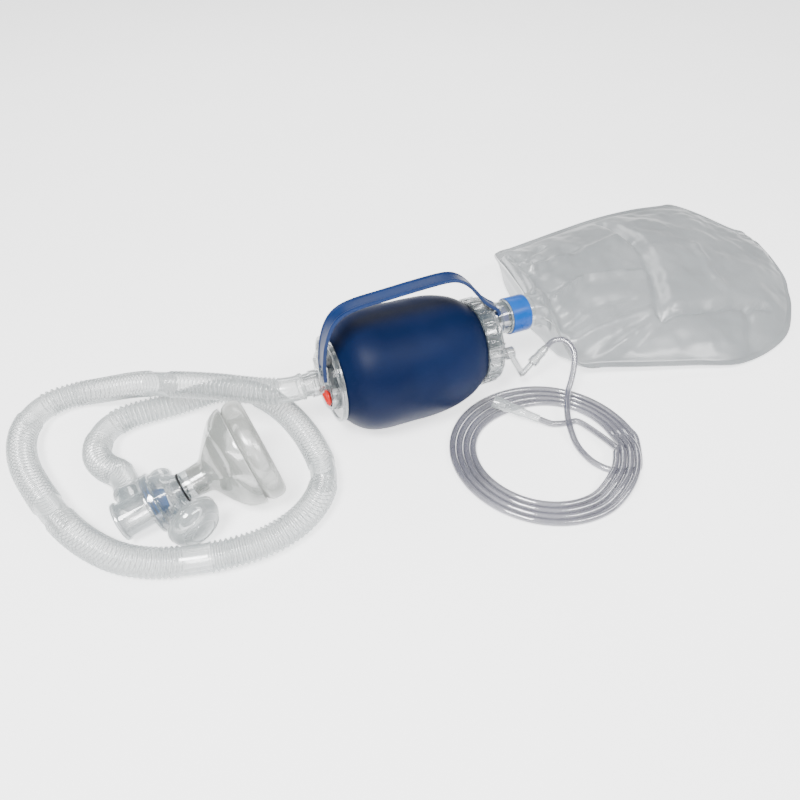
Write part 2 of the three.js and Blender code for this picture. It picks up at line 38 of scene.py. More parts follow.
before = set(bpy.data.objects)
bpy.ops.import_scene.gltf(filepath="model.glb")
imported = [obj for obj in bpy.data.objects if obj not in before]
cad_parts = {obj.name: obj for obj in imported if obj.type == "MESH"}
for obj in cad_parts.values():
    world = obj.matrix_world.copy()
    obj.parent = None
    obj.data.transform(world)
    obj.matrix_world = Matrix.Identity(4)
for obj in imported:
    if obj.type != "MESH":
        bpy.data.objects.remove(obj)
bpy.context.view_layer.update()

# ---- the build frame, and the frames of the units ------------------------------------------
MM = 0.001
ORIGIN = Vector((222.9, 64.7, 0))
AXIS_Z = 62
VALVE_AT = (-215.5, -62.5, 19.9)
VALVE_TURN = math.radians(4.8)
VALVE_TILT = math.radians(13.6)
MASK_TURN = math.radians(-45)

BUILD = Matrix.Scale(MM, 4) @ Matrix.Translation(-ORIGIN)
BAG_FRAME = BUILD @ Matrix.Translation((0, 0, AXIS_Z))
VALVE_FRAME = (BUILD @ Matrix.Translation(VALVE_AT) @ Matrix.Rotation(VALVE_TURN, 4, "Z")
               @ Matrix.Rotation(-VALVE_TILT, 4, "Y"))
MASK_FRAME = VALVE_FRAME @ Matrix.Rotation(MASK_TURN, 4, "X")

# Shifts from the bag's axis to the reservoir port, the relief knob and the oxygen boss.
PORT_SHIFT = Matrix.Translation((0, 12, 12))
KNOB_SHIFT = Matrix.Translation((0, -20, -5))
BOSS_Y = -14
BOSS_Z = -16
BOSS_SHIFT = Matrix.Translation((0, BOSS_Y, BOSS_Z))
PORT_FRAME = BAG_FRAME @ PORT_SHIFT
KNOB_FRAME = BAG_FRAME @ KNOB_SHIFT

STRAP_Y = -18       # middle of the strap at its front end, off the bag's axis
STRAP_REAR_Y = -8

ROUND = 96          # facets round a large turned piece
SMALL_ROUND = 48


# ---- camera --------------------------------------------------------------------------------
LENS = 31.5
SENSOR = 36
CAMERA_AT = (-145.7, -508.4, 495.6)
LOOK_AT = (79.1, 22.1, 0)


def add_camera():
    data = bpy.data.cameras.new("camera")
    data.lens = LENS
    data.sensor_width = SENSOR
    data.clip_end = 20
    camera = bpy.data.objects.new("camera", data)
    bpy.context.scene.collection.objects.link(camera)
    place = BUILD @ Vector(CAMERA_AT)
    target = BUILD @ Vector(LOOK_AT)
    camera.location = place
    camera.rotation_euler = (target - place).to_track_quat("-Z", "Y").to_euler()
    data.shift_y = -0.01
    bpy.context.scene.camera = camera


add_camera()


# ---- materials -----------------------------------------------------------------------------
class Look:
    """A material with its nodes, and short calls that add the usual detail."""

    def __init__(self, name):
        self.material = bpy.data.materials.new(name)
        self.material.use_nodes = True
        self.nodes = self.material.node_tree.nodes
        self.links = self.material.node_tree.links
        self.shader = self.nodes["Principled BSDF"]
        self.output = self.nodes["Material Output"]

    def noise(self, scale, detail=3.0):
        place = self.nodes.new("ShaderNodeTexCoord")
        texture = self.nodes.new("ShaderNodeTexNoise")
        texture.inputs["Scale"].default_value = scale
        texture.inputs["Detail"].default_value = detail
        self.links.new(place.outputs["Object"], texture.inputs["Vector"])
        return texture.outputs["Fac"]

    def spread(self, value, low, high, start=0.3, end=0.7):
        """The value, taken from start..end to low..high."""
        change = self.nodes.new("ShaderNodeMapRange")
        change.inputs["From Min"].default_value = start
        change.inputs["From Max"].default_value = end
        change.inputs["To Min"].default_value = low
        change.inputs["To Max"].default_value = high
        self.links.new(value, change.inputs["Value"])
        return change.outputs["Result"]

    def two_colours(self, value, first, second):
        ramp = self.nodes.new("ShaderNodeValToRGB")
        ramp.color_ramp.elements[0].position = 0.35
        ramp.color_ramp.elements[0].color = (*first, 1)
        ramp.color_ramp.elements[1].position = 0.68
        ramp.color_ramp.elements[1].color = (*second, 1)
        self.links.new(value, ramp.inputs["Fac"])
        self.links.new(ramp.outputs["Color"], self.shader.inputs["Base Color"])

    def rough(self, value, low, high):
        self.links.new(self.spread(value, low, high), self.shader.inputs["Roughness"])

    def bump(self, value, strength, distance=0.0005):
        bump = self.nodes.new("ShaderNodeBump")
        bump.inputs["Strength"].default_value = strength
        bump.inputs["Distance"].default_value = distance
        self.links.new(value, bump.inputs["Height"])
        self.links.new(bump.outputs["Normal"], self.shader.inputs["Normal"])

    def see_through(self, face_on, edge_on, blend=0.45, gloss=0.1, shine_rough=0.12):
        """Mixes the shader with clear, from face_on solid where it faces the eye to edge_on,
        and lays a gloss over both."""
        weight = self.nodes.new("ShaderNodeLayerWeight")
        weight.inputs["Blend"].default_value = blend
        share = self.spread(weight.outputs["Facing"], face_on, edge_on, 0.05, 0.95)
        clear = self.nodes.new("ShaderNodeBsdfTransparent")
        mix = self.nodes.new("ShaderNodeMixShader")
        self.links.new(share, mix.inputs["Fac"])
        self.links.new(clear.outputs["BSDF"], mix.inputs[1])
        self.links.new(self.shader.outputs["BSDF"], mix.inputs[2])
        shine = self.nodes.new("ShaderNodeBsdfGlossy")
        shine.inputs["Roughness"].default_value = shine_rough
        normal = self.shader.inputs["Normal"].links[0].from_socket
        self.links.new(normal, shine.inputs["Normal"])
        over = self.nodes.new("ShaderNodeMixShader")
        share = self.spread(weight.outputs["Fresnel"], gloss, 0.6, 0.0, 1.0)
        self.links.new(share, over.inputs["Fac"])
        self.links.new(mix.outputs["Shader"], over.inputs[1])
        self.links.new(shine.outputs["BSDF"], over.inputs[2])
        self.links.new(over.outputs["Shader"], self.output.inputs["Surface"])


def solid_look(name, first, second, scale, rough, bump_scale, bump, metal=0.0, specular=0.3):
    """An opaque moulded or rubber finish: two close colours, uneven gloss and a fine grain."""
    look = Look(name)
    cloud = look.noise(scale)
    look.two_colours(cloud, first, second)
    look.rough(cloud, *rough)
    look.bump(look.noise(bump_scale, 5.0), bump)
    look.shader.inputs["Metallic"].default_value = metal
    look.shader.inputs["Specular IOR Level"].default_value = specular
    return look


def clear_look(name, first, second, face_on, edge_on, rough=(0.06, 0.16), haze=25, grain=260,
               bump=0.08, blend=0.45, gloss=0.08, shine_rough=0.12):
    """A clear or hazy plastic: see-through where it faces the eye, denser at its edges."""
    look = Look(name)
    cloud = look.noise(haze)
    look.two_colours(cloud, first, second)
    look.rough(cloud, *rough)
    look.bump(look.noise(grain, 2.0), bump)
    look.shader.inputs["Specular IOR Level"].default_value = 0.6
    look.see_through(face_on, edge_on, blend, gloss, shine_rough)
    return look


NAVY = solid_look("navy_silicone", (0.0012, 0.0062, 0.031), (0.0022, 0.0092, 0.042), 14,
                  (0.44, 0.54), 900, 0.12, specular=0.1)
STRAP_BLUE = solid_look("strap_blue", (0.0014, 0.014, 0.068), (0.003, 0.02, 0.09), 30,
                        (0.36, 0.46), 1200, 0.08, specular=0.2)
BAND_BLUE = solid_look("band_blue", (0.0015, 0.062, 0.3), (0.003, 0.085, 0.37), 40,
                       (0.26, 0.36), 900, 0.06, specular=0.2)
RED = solid_look("red_plastic", (0.5, 0.006, 0.004), (0.62, 0.014, 0.01), 60,
                 (0.3, 0.42), 1100, 0.06)
PURPLE = solid_look("purple_plastic", (0.07, 0.08, 0.4), (0.11, 0.12, 0.48), 50,
                    (0.3, 0.42), 900, 0.06)
VALVE_BLUE = solid_look("valve_blue", (0.002, 0.08, 0.3), (0.004, 0.12, 0.38), 60,
                        (0.3, 0.42), 900, 0.08)
BLACK = solid_look("o_ring_black", (0.004, 0.004, 0.005), (0.009, 0.009, 0.01), 120,
                   (0.45, 0.6), 1500, 0.1)
STEEL = solid_look("spring_steel", (0.5, 0.52, 0.54), (0.62, 0.63, 0.65), 200,
                   (0.22, 0.36), 1500, 0.05, metal=1.0)
SILICONE = solid_look("silicone", (0.6, 0.64, 0.64), (0.7, 0.73, 0.72), 60,
                      (0.4, 0.5), 900, 0.06)
CLEAR = clear_look("clear_plastic", (0.14, 0.18, 0.2), (0.3, 0.35, 0.37), 0.1, 0.85)
ELBOW = clear_look("elbow_plastic", (0.07, 0.095, 0.105), (0.16, 0.19, 0.2), 0.3, 0.92)
CHAMBER = clear_look("chamber_plastic", (0.26, 0.34, 0.37), (0.42, 0.5, 0.53), 0.07, 0.7)
FROSTED = clear_look("frosted_plastic", (0.4, 0.45, 0.46), (0.54, 0.58, 0.59), 0.34, 0.88,
                     rough=(0.25, 0.38))
MASK_CLEAR = clear_look("mask_plastic", (0.28, 0.31, 0.285), (0.42, 0.44, 0.41), 0.2, 0.85,
                        rough=(0.1, 0.22))
CUSHION = clear_look("mask_cushion", (0.34, 0.36, 0.335), (0.5, 0.515, 0.485), 0.3, 0.85,
                     rough=(0.28, 0.4), bump=0.12, shine_rough=0.25)
HOSE = clear_look("hose_plastic", (0.36, 0.41, 0.42), (0.54, 0.58, 0.58), 0.24, 0.9,
                  rough=(0.28, 0.4), shine_rough=0.2)
TUBING = clear_look("tubing", (0.085, 0.085, 0.12), (0.15, 0.15, 0.2), 0.52, 0.96,
                    rough=(0.1, 0.2), blend=0.5)
FILM = clear_look("reservoir_film", (0.235, 0.26, 0.275), (0.36, 0.385, 0.4), 0.52, 0.92,
                  rough=(0.32, 0.5), haze=9, grain=120, bump=0.3, gloss=0.04, shine_rough=0.3)


# ---- shapes --------------------------------------------------------------------------------
def smoothstep(value, low, high):
    share = min(max((value - low) / (high - low), 0.0), 1.0)
    return share * share * (3 - 2 * share)


def soften(profile, radius, steps=3, turned_about_axis=True):
    """A closed outline with its corners rounded by the radius, or less on a short side.
    The corners of a turned profile that lie on its axis stay sharp."""
    rounded = []
    count = len(profile)
    for i, corner in enumerate(profile):
        here = Vector(corner)
        back = Vector(profile[i - 1]) - here
        ahead = Vector(profile[(i + 1) % count]) - here
        reach = min(radius, 0.4 * back.length, 0.4 * ahead.length)
        on_axis = turned_about_axis and here.y <= 1e-6
        if on_axis or reach < 1e-4:
            rounded.append(tuple(here))
            continue
        start = here + back.normalized() * reach
        end = here + ahead.normalized() * reach
        for step in range(steps + 1):
            t = step / steps
            rounded.append(tuple(start * (1 - t) ** 2 + here * (2 * t * (1 - t)) + end * t * t))
    return rounded


def ring_faces(rings, sides, closed):
    """Faces between rings of points; closed also joins the last ring to the first."""
    faces = []
    for i in range(rings if closed else rings - 1):
        a = i * sides
        b = (i + 1) % rings * sides
        for j in range(sides):
            k = (j + 1) % sides
            faces.append((a + j, a + k, b + k, b + j))
    return faces


def capped_faces(rings, sides):
    """Faces between rings of points, with a flat end on the first and the last."""
    last = (rings - 1) * sides
    ends = [tuple(range(sides - 1, -1, -1)), tuple(range(last, last + sides))]
    return ring_faces(rings, sides, closed=False) + ends


def turned(profile, sides=ROUND):
    """A turned piece about +X from (x, r) pairs, as points and faces."""
    verts = []
    for x, r in profile:
        for j in range(sides):
            angle = 2 * math.pi * j / sides
            verts.append((x, r * math.cos(angle), r * math.sin(angle)))
    return verts, ring_faces(len(profile), sides, closed=True)


def ring_profile(x0, x1, outer, inner):
    return [(x0, outer), (x1, outer), (x1, inner), (x0, inner)]


def rod_profile(x0, x1, r):
    return [(x0, 0), (x0, r), (x1, r), (x1, 0)]


def extruded(outline, low, high, axis="Y"):
    """An outline of (x, z) pairs given width across Y, or of (y, z) pairs along X."""
    count = len(outline)
    verts = []
    for level in (low, high):
        for a, b in outline:
            verts.append((a, level, b) if axis == "Y" else (level, a, b))
    faces = [tuple(range(count)), tuple(range(2 * count - 1, count - 1, -1))]
    for i in range(count):
        k = (i + 1) % count
        faces.append((i, k, count + k, count + i))
    return verts, faces


def block(low, high):
    x0, y0, z0 = low
    x1, y1, z1 = high
    return extruded([(x0, z0), (x1, z0), (x1, z1), (x0, z1)], y0, y1)


def along(shape, start, direction):
    """Turns a shape made along +X so that it runs along a direction from a point."""
    verts, faces = shape
    turn = Vector((1, 0, 0)).rotation_difference(Vector(direction)).to_matrix()
    return [tuple(turn @ Vector(v) + Vector(start)) for v in verts], faces


def moved(shape, change):
    verts, faces = shape
    return [tuple(change @ Vector(v)) for v in verts], faces


def curve_points(points, count):
    """Points at even steps along the smooth curve through the given ones."""
    given = [Vector(p) for p in points]
    line = [2 * given[0] - given[1], *given, 2 * given[-1] - given[-2]]
    fine = []
    steps = 24
    for i in range(1, len(line) - 2):
        p0, p1, p2, p3 = line[i - 1:i + 3]
        for step in range(steps):
            t = step / steps
            slope_a = (p2 - p0) / 2
            slope_b = (p3 - p1) / 2
            fine.append((2 * t**3 - 3 * t**2 + 1) * p1 + (t**3 - 2 * t**2 + t) * slope_a
                        + (-2 * t**3 + 3 * t**2) * p2 + (t**3 - t**2) * slope_b)
    fine.append(given[-1])
    return even_points(fine, count)


def even_points(points, count):
    array = np.array([tuple(p) for p in points])
    reach = np.concatenate([[0], np.cumsum(np.linalg.norm(np.diff(array, axis=0), axis=1))])
    want = np.linspace(0, reach[-1], count)
    return [Vector(row) for row in
            np.stack([np.interp(want, reach, array[:, k]) for k in range(array.shape[1])], axis=1)]


def path_length(points):
    return sum((b - a).length for a, b in zip(points, points[1:]))


def swept(points, radius_at, sides):
    """A round tube along the points; radius_at(distance) is its radius there."""
    headings = [(b - a).normalized() for a, b in zip(points, points[1:])]
    headings.append(headings[-1])
    side = headings[0].orthogonal().normalized()
    verts = []
    done = 0.0
    for i, point in enumerate(points):
        side = (side - headings[i] * side.dot(headings[i])).normalized()
        other = headings[i].cross(side)
        if i:
            done += (point - points[i - 1]).length
        r = radius_at(done)
        for j in range(sides):
            angle = 2 * math.pi * j / sides
            verts.append(tuple(point + side * (r * math.cos(angle)) + other * (r * math.sin(angle))))
    return verts, capped_faces(len(points), sides)


def raw_object(name, shape, place):
    verts, faces = shape
    mesh = bpy.data.meshes.new(name)
    mesh.from_pydata([tuple(place @ Vector(v)) for v in verts], [], faces)
    work = bmesh.new()
    work.from_mesh(mesh)
    bmesh.ops.remove_doubles(work, verts=work.verts, dist=1e-6)
    bmesh.ops.dissolve_degenerate(work, edges=work.edges, dist=1e-7)
    bmesh.ops.recalc_face_normals(work, faces=work.faces)
    work.to_mesh(mesh)
    work.free()
    made = bpy.data.objects.new(name, mesh)
    bpy.context.scene.collection.objects.link(made)
    return made


def apply_modifiers(thing):
    graph = bpy.context.evaluated_depsgraph_get()
    mesh = bpy.data.meshes.new_from_object(thing.evaluated_get(graph))
    old = thing.data
    thing.modifiers.clear()
    thing.data = mesh
    bpy.data.meshes.remove(old)


def combined(base, place, tools):
    """Joins or cuts shapes on an object: tools are ("UNION" or "DIFFERENCE", shape) pairs."""
    for work, shape in tools:
        tool = raw_object("tool", shape, place)
        modifier = base.modifiers.new("cut", "BOOLEAN")
        modifier.operation = work
        modifier.object = tool
        modifier.solver = "EXACT"
        apply_modifiers(base)
        bpy.data.objects.remove(tool)
    return base


def bevelled(thing, width, segments=2, angle=35):
    modifier = thing.modifiers.new("edge", "BEVEL")
    modifier.width = width * MM
    modifier.segments = segments
    modifier.limit_method = "ANGLE"
    modifier.angle_limit = math.radians(angle)
    modifier.use_clamp_overlap = True
    apply_modifiers(thing)
    return thing


def dressed(thing, look, slot, *nodes, sharp=32):
    """Smooths the piece, gives it its look, and hides the CAD parts it takes the place of."""
    mesh = thing.data
    mesh.shade_smooth()
    mesh.set_sharp_from_angle(angle=math.radians(sharp))
    mesh.materials.clear()
    mesh.materials.append(look.material)
    if nodes:
        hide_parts(*nodes)
    return thing


def finished(thing, look, slot, body, *nodes, sharp=32):
    """Dresses the piece and says what it rides on."""
    dressed(thing, look, slot, *nodes, sharp=sharp)
    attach(thing, body)
    return thing


def add(name, shape, place, look, slot, body, *nodes, sharp=32):
    return finished(raw_object(name, shape, place), look, slot, body, *nodes, sharp=sharp)


# ---- corrugated hose -----------------------------------------------------------------------
HOSE_ROUTE = [
    (-31.3, 0, 62), (-44, 0, 62), (-61, 5, 61.5), (-80, 17, 60), (-104, 36, 57),
    (-130, 56, 52.5), (-152, 73, 47.5), (-169, 88, 42), (-185, 102, 34.5), (-202, 116, 25.5),
    (-220, 128, 18), (-240, 135, 14.5), (-263, 133, 14), (-280.5, 121, 14), (-292, 101, 14),
    (-296, 74, 14), (-293, 44, 14), (-284, 12, 14), (-272, -21, 14), (-258.5, -50, 14),
    (-241, -77, 14), (-221, -98, 14), (-196, -113, 14), (-167, -122, 14), (-137, -127, 14),
    (-107, -127, 14), (-79, -119, 14), (-57, -104, 14), (-42, -84, 14), (-36, -60, 14),
    (-36, -34, 14), (-39, -8, 14), (-45, 18, 14), (-55, 43, 14), (-69, 65, 14), (-88, 79, 14),
    (-110, 84, 14), (-133, 82, 14), (-157, 80, 14), (-180, 80, 14), (-201, 77, 14),
    (-217, 67, 14), (-227, 50, 14), (-229, 30, 15), (-222, 9, 18.7), (-211.5, -7, 22.2),
    (-207.19, -22.06, 22.72), (-206.08, -35.32, 22.72),
]
HOSE_PEAK = 13.5        # outer radius of a rib
HOSE_VALLEY = 10.9
HOSE_CUFF = 12.3        # smooth stretches, one at each end and one every CUFF_EVERY
RIB_PITCH = 4.6
CUFF_EVERY = 152
CUFF_HALF = 11
RINGS_PER_RIB = 6


def hose_radius(distance, total):
    nearest = round(distance / CUFF_EVERY) * CUFF_EVERY
    from_cuff = abs(distance - nearest) - CUFF_HALF
    from_end = min(distance, total - distance) - 2 * CUFF_HALF
    ribbed = smoothstep(min(from_cuff, from_end), 0, 2.5)
    wave = 0.5 + 0.5 * math.cos(2 * math.pi * distance / RIB_PITCH)
    rib = HOSE_VALLEY + (HOSE_PEAK - HOSE_VALLEY) * wave**0.8
    lip = 0.9 * smoothstep(3.5 - min(distance, total - distance), 0, 1.5)
    return (1 - ribbed) * (HOSE_CUFF + lip) + ribbed * rib


def build_hose():
    rough_line = curve_points(HOSE_ROUTE, 400)
    total = path_length(rough_line)
    rings = round(total / RIB_PITCH * RINGS_PER_RIB)
    line = curve_points(HOSE_ROUTE, rings)
    shape = swept(line, lambda distance: hose_radius(distance, total), 28)
    hose = add("corrugated_breathing_hose", shape, BUILD, HOSE, "hose_plastic", "bag_body",
               "corrugated_hose", sharp=80)


build_hose()

# ---- oxygen tubing -------------------------------------------------------------------------
TUBE_R = 3.25
ELBOW_LOW = Vector((202, -24, 21))
TUBE_HEADING = Vector((51, 14, 32)).normalized()
LEAD_ROUTE = [
    tuple(ELBOW_LOW + TUBE_HEADING * 38.3), (240.2, -14, 44.8), (247, -15.6, 47.8),
    (252.8, -20, 48), (256.3, -26.4, 45.2), (257, -33.4, 40.6), (254.6, -40.2, 34.6),
    (250, -47, 27.8), (243, -55, 21), (234, -64, 15), (224.5, -78, 12.6), (216, -93, 11),
    (211, -107, 7.5), (208, -121, 4), (207, -135, 3.4), (208.5, -148, 3.4), (212.5, -157.6, 3.4),
    (217, -163.6, 3.4),
]
LEAD_ONTO_COIL = [(225, -169.6, 3.35), (235, -172.4, 3.35), (246, -172, 3.35)]
TAIL_ROUTE = [
    (237, -107, 3.6), (229.5, -99, 3.6), (219, -93.8, 3.7), (208, -92, 4.3), (200, -89.6, 5.3),
    (195, -85.4, 6.3), (190.2, -80.9, 7.64),
]
COIL_AT = Vector((175, -118, 0))
COIL_OUTER = 94.6        # middle of the outermost turn
TURN_STEP = 6.75
COIL_START = math.radians(-32)
COIL_TURN = 4 + 42 / 360
REST_Z = 3.35
HUMP_Z = 2 * TUBE_R + 0.2


def coil_point(turns):
    """A point on the coil, turns round from where the lead joins its outermost turn."""
    angle = COIL_START + turns * 2 * math.pi
    swing = math.degrees(angle) % 360
    spread = 1.4 * math.exp(-((swing - 95) / 40) ** 2) * turns * (1 - smoothstep(turns, 3.3, 4))
    wander = 0.9 * math.sin(2 * angle + 0.6) + 0.7 * math.sin(3 * angle)
    radius = COIL_OUTER - TURN_STEP * turns - spread + wander * smoothstep(turns, 0, 0.4)
    past = (swing + 180) % 360 - 180
    over_lead = smoothstep(past, -82, -58) * (1 - smoothstep(past, -30, -4))
    lift = HUMP_Z * over_lead * smoothstep(turns, 0.3, 0.7)
    return COIL_AT + Vector((radius * math.cos(angle), radius * math.sin(angle), REST_Z + lift))


def build_tubing():
    per_turn = 40
    count = round(COIL_TURN * per_turn)
    # The lead and the tail stand in for the coil's first and last few points.
    coil = [coil_point(i / per_turn) for i in range(2, count - 3)]
    route = LEAD_ROUTE + LEAD_ONTO_COIL + coil + TAIL_ROUTE[1:]
    line = curve_points(route, 1400)
    total = path_length(line)
    shape = swept(line, lambda distance: TUBE_R, 16)
    tube = add("oxygen_tubing", shape, BUILD, TUBING, "tubing", "bag_body",
               "oxygen_tube_lead", "oxygen_tube_coil", "oxygen_tube_tail", sharp=60)
    path = [tuple(BUILD @ point) for point in line[::4] + [line[-1]]]
    return tube, path, total


tubing, tubing_path, tubing_length = build_tubing()


def build_adapter():
    profile = soften([(15.3, 0), (15.3, 5.6), (22, 5.6), (24, 4.7), (30, 4.7), (30, 5.1), (32, 5.1),
                      (32, 4.4), (38, 4.2), (38, 0)], 0.5)
    return add("tubing_adapter", along(turned(profile, SMALL_ROUND), ELBOW_LOW, TUBE_HEADING), BUILD,
               ELBOW, "clear_plastic", "bag_body", "oxygen_tube_adapter")


CONNECTOR_FROM = Vector((190, -80.7, 7.7))
CONNECTOR_TO = Vector((154, -47, 17.6))


def build_tube_connector():
    """The flared end: a sleeve on the tube, a waist, and a fluted grip."""
    profile = soften([(0, 0), (0, 4), (14, 4.3), (20, 5.2), (33, 5.2), (36, 6.3), (50, 6.5), (50, 0)],
                     0.6)
    verts, faces = turned(profile, SMALL_ROUND)
    fluted = []
    for x, y, z in verts:
        flute = 0.35 * smoothstep(x, 36, 39) * math.cos(12 * math.atan2(z, y))
        r = math.hypot(y, z)
        scale = (r - 0.35 + flute) / r if r > 5 and x > 36 else 1
        fluted.append((x, y * scale, z * scale))
    shape = along((fluted, faces), CONNECTOR_FROM, CONNECTOR_TO - CONNECTOR_FROM)
    return add("tubing_connector", shape, BUILD, FROSTED, "frosted_plastic", "bag_body",
               "oxygen_tube_connector")


adapter = build_adapter()
tube_connector = build_tube_connector()


# ---- squeeze bag ---------------------------------------------------------------------------
BAG_PROFILE = [
    (0.3, 41), (2, 42.8), (5, 45.6), (10, 50.6), (17, 55.6), (26, 59.2), (38, 61.4), (52, 62),
    (66, 62), (80, 61.9), (96, 60.9), (110, 59), (122, 56), (132, 52.2), (140, 47.4), (145, 43.4),
    (148, 41),
]
BAG_LENGTH = 148
BAG_R = 62
BAG_WALL = 2.6
BAG_SAG = 2.2


def bag_shape():
    outer = [(p.x, p.y) for p in curve_points([(x, r, 0) for x, r in BAG_PROFILE], 90)]
    inner = [(x, r - BAG_WALL) for x, r in reversed(outer)]
    verts, faces = turned(outer + inner, 128)
    shaped = []
    for x, y, z in verts:
        middle = math.sin(math.pi * min(max(x / BAG_LENGTH, 0), 1))
        dent = noise.noise(Vector((x, y, z)) / 38) * 1.1 + noise.noise(Vector((x, y, z)) / 16) * 0.35
        scale = 1 + dent * middle / BAG_R
        drop = BAG_SAG * middle * smoothstep(z, -20, BAG_R)
        shaped.append((x, y * scale, max(z * scale - drop, -AXIS_Z + 0.15)))
    return shaped, faces


add("squeeze_bag_skin", bag_shape(), BAG_FRAME, NAVY, "navy_rubber", "bag_body", "squeeze_bag",
    sharp=60)


# ---- outlet end of the bag -----------------------------------------------------------------
def build_outlet_end():
    flange = soften([(-3.9, 43), (-0.3, 43), (-0.3, 30), (-3.9, 30)], 0.9)
    rim = soften([(-5.2, 43), (-3.5, 43), (-3.5, 39.6), (-5.2, 39.6)], 0.7)
    piece = raw_object("outlet_flange_ring", turned(flange, ROUND), BAG_FRAME)
    combined(piece, BAG_FRAME, [("UNION", turned(rim, ROUND))])
    finished(piece, CLEAR, "clear_plastic", "bag_body", "outlet_flange")

    drum = soften([(-17, 12), (-13, 12), (-12, 14), (-12, 28.2), (-10.6, 29.7), (-0.3, 29.7),
                   (-0.3, 27.4), (-9.8, 27.4), (-9.8, 9.6), (-17, 9.6)], 0.6)
    piece = raw_object("outlet_drum", turned(drum, ROUND), BAG_FRAME)
    tools = [
        ("UNION", block((-20, STRAP_Y - 2.6, 22.8), (-11, STRAP_Y + 2.6, 29))),
        ("UNION", block((-13, STRAP_Y - 2.6, 16), (-11, STRAP_Y + 2.6, 24))),
    ]
    for i in range(8):
        rib = block((-13.6, -0.8, 15), (-11.5, 0.8, 26.5))
        angle = math.radians(45 * i + 22)
        if 100 < math.degrees(angle) < 200:
            continue
        tools.append(("UNION", moved(rib, Matrix.Rotation(angle, 4, "X"))))
    cup = soften(rod_profile(-12, -4.4, 10.8), 0.4)
    for work, shape in (("UNION", turned(cup, 64)),
                        ("DIFFERENCE", turned(rod_profile(-14, -5.8, 9.4), 64)),
                        ("DIFFERENCE", turned(rod_profile(-7, -2, 3.8), 32))):
        tools.append((work, moved(shape, KNOB_SHIFT)))
    combined(piece, BAG_FRAME, tools)
    finished(piece, CLEAR, "clear_plastic", "bag_body", "outlet_housing")

    connector = soften([(-17.3, 13.2), (-24, 13.2), (-24, 11.6), (-31, 11.2), (-31, 9), (-17.3, 9)],
                       0.5)
    add("outlet_swivel_connector", turned(connector, ROUND), BAG_FRAME, CLEAR, "clear_plastic",
        "outlet_swivel_body", "outlet_connector")


build_outlet_end()


def build_relief_valve():
    cage = raw_object("relief_valve_cage", turned(soften(ring_profile(-11.3, -6.1, 7, 5.8), 0.3), 64),
                      KNOB_FRAME)
    slots = []
    for i in range(4):
        slot = block((-10.4, -1.3, 4), (-7, 1.3, 9))
        slots.append(("DIFFERENCE", moved(slot, Matrix.Rotation(math.radians(90 * i + 45), 4, "X"))))
    combined(cage, KNOB_FRAME, slots)
    finished(cage, CLEAR, "clear_plastic", "bag_body", "relief_cage")

    head = soften([(-15, 0), (-15, 6.8), (-14.2, 8), (-13, 8.2), (-11.6, 6.4), (-11.6, 5.4),
                   (-11, 5.4), (-11, 2.3), (-8.6, 2.3), (-8.6, 0)], 0.4)
    knob = raw_object("relief_valve_knob", turned(head, 64), KNOB_FRAME)
    tools = [("UNION", block((-16.7, -7, -1.3), (-13.6, 7, 1.3)))]
    for i in range(8):
        notch = turned(rod_profile(-17, -12.4, 0.8), 16)
        angle = math.radians(45 * i + 22.5)
        tools.append(("DIFFERENCE", along(notch, (0, 8.4 * math.cos(angle), 8.4 * math.sin(angle)),
                                          (1, 0, 0))))
    combined(knob, KNOB_FRAME, tools)
    bevelled(knob, 0.25)
    finished(knob, RED, "red_plastic", "relief_knob_body", "relief_knob")


build_relief_valve()


def build_relief_spring():
    """A coil of two turns, at a fixed length."""
    turns, radius, start, end = 2, 3.4, -10.3, -8.0
    count = 48
    points = []
    for i in range(count + 1):
        angle = i / count * turns * 2 * math.pi
        points.append((start + i / count * (end - start), radius * math.cos(angle),
                       radius * math.sin(angle)))
    shape = swept([Vector(p) for p in points], lambda distance: 0.3, 10)
    spring = raw_object("relief_valve_spring", shape, KNOB_FRAME)
    dressed(spring, STEEL, "spring_steel", "relief_spring", sharp=60)
    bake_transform(spring)


build_relief_spring()

# ---- strap handle --------------------------------------------------------------------------
STRAP_SPINE = [
    (-15.4, 19), (-15.4, 27), (-15.2, 38), (-12.5, 58), (-6, 76), (4, 86.5), (20, 91.5),
    (48, 94), (78, 96.4), (100, 97.2), (116, 94.2), (129, 86), (141, 73), (152, 58.5),
    (162.5, 48.8), (169, 43.5), (170.3, 37),
]
STRAP_W = 16
STRAP_T = 3.2


def strap_section():
    """Across the strap: (across, through) pairs with a shallow channel in the outer face."""
    half, thick = STRAP_W / 2, STRAP_T / 2
    outline = [(-half, -thick), (half, -thick), (half, thick), (half - 2, thick),
               (half - 2.8, thick - 0.6), (-half + 2.8, thick - 0.6), (-half + 2, thick),
               (-half, thick)]
    return soften(outline, 0.5, 2, turned_about_axis=False)


def build_strap():
    line = curve_points([(x, 0, z) for x, z in STRAP_SPINE], 110)
    headings = [(line[min(i + 1, len(line) - 1)] - line[max(i - 1, 0)]).normalized()
                for i in range(len(line))]
    section = strap_section()
    verts = []
    for point, heading in zip(line, headings):
        outward = Vector((-heading.z, 0, heading.x))
        middle = STRAP_Y + smoothstep(point.x, 90, 160) * (STRAP_REAR_Y - STRAP_Y)
        for across, through in section:
            verts.append(tuple(point + Vector((0, middle + across, 0)) + outward * through))
    shape = verts, capped_faces(len(line), len(section))
    strap = raw_object("carry_strap", shape, BAG_FRAME)
    combined(strap, BAG_FRAME, [
        ("DIFFERENCE", block((-20, STRAP_Y - 3, 22.4), (-10, STRAP_Y + 3, 33))),
        ("DIFFERENCE", block((164, STRAP_REAR_Y - 3, 38.6), (176, STRAP_REAR_Y + 3, 42.4))),
    ])
    finished(strap, STRAP_BLUE, "strap_blue", "bag_body", "strap_handle", sharp=38)


build_strap()


